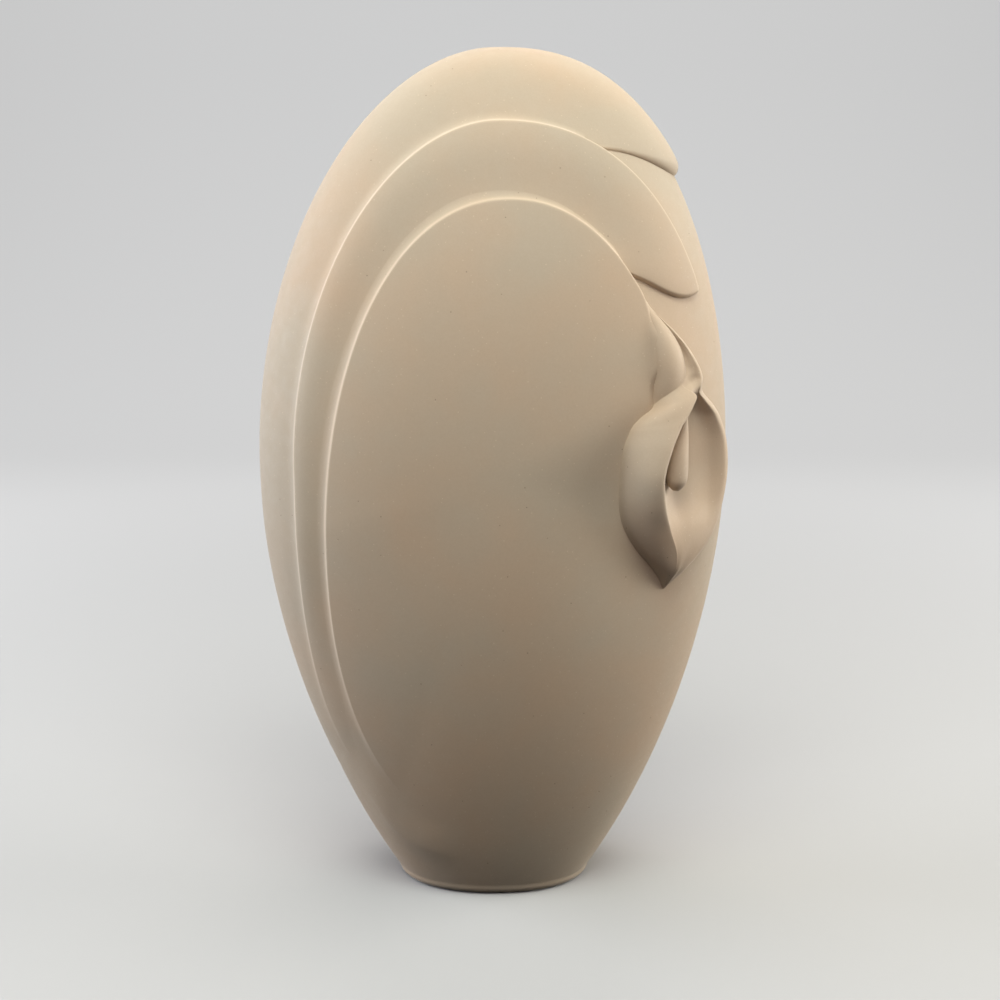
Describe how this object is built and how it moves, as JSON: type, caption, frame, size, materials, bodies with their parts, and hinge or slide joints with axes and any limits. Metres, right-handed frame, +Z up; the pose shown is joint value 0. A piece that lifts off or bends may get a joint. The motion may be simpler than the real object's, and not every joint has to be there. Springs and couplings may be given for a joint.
{
  "type": "flower vase",
  "caption": "Tall flattened oval ceramic vase with overlapping relief leaves on its face, a calla lily on its right shoulder and a small tilted mouth behind the crest.",
  "frame": {"origin": "on the plane that the foot rests on, below the middle of the object", "axes": "+Z up, towards the mouth; +X to the vase's right as seen from the front; -Y towards the viewer, out of the relief face"},
  "size_m": [0.2125, 0.131, 0.3811],
  "materials": {
    "body": "matt bisque, fine grain",
    "leaves": "matt bisque, fine grain",
    "lily": "matt bisque, smoothed",
    "spadix": "matt bisque, fine grain"
  },
  "bodies": {
    "root": {"vessel_body": "body", "outer_leaf": "leaves", "middle_leaf": "leaves", "inner_leaf": "leaves", "lily_stem": "lily", "lily_spathe": "lily", "lily_spadix": "spadix"}
  },
  "joints": []
}
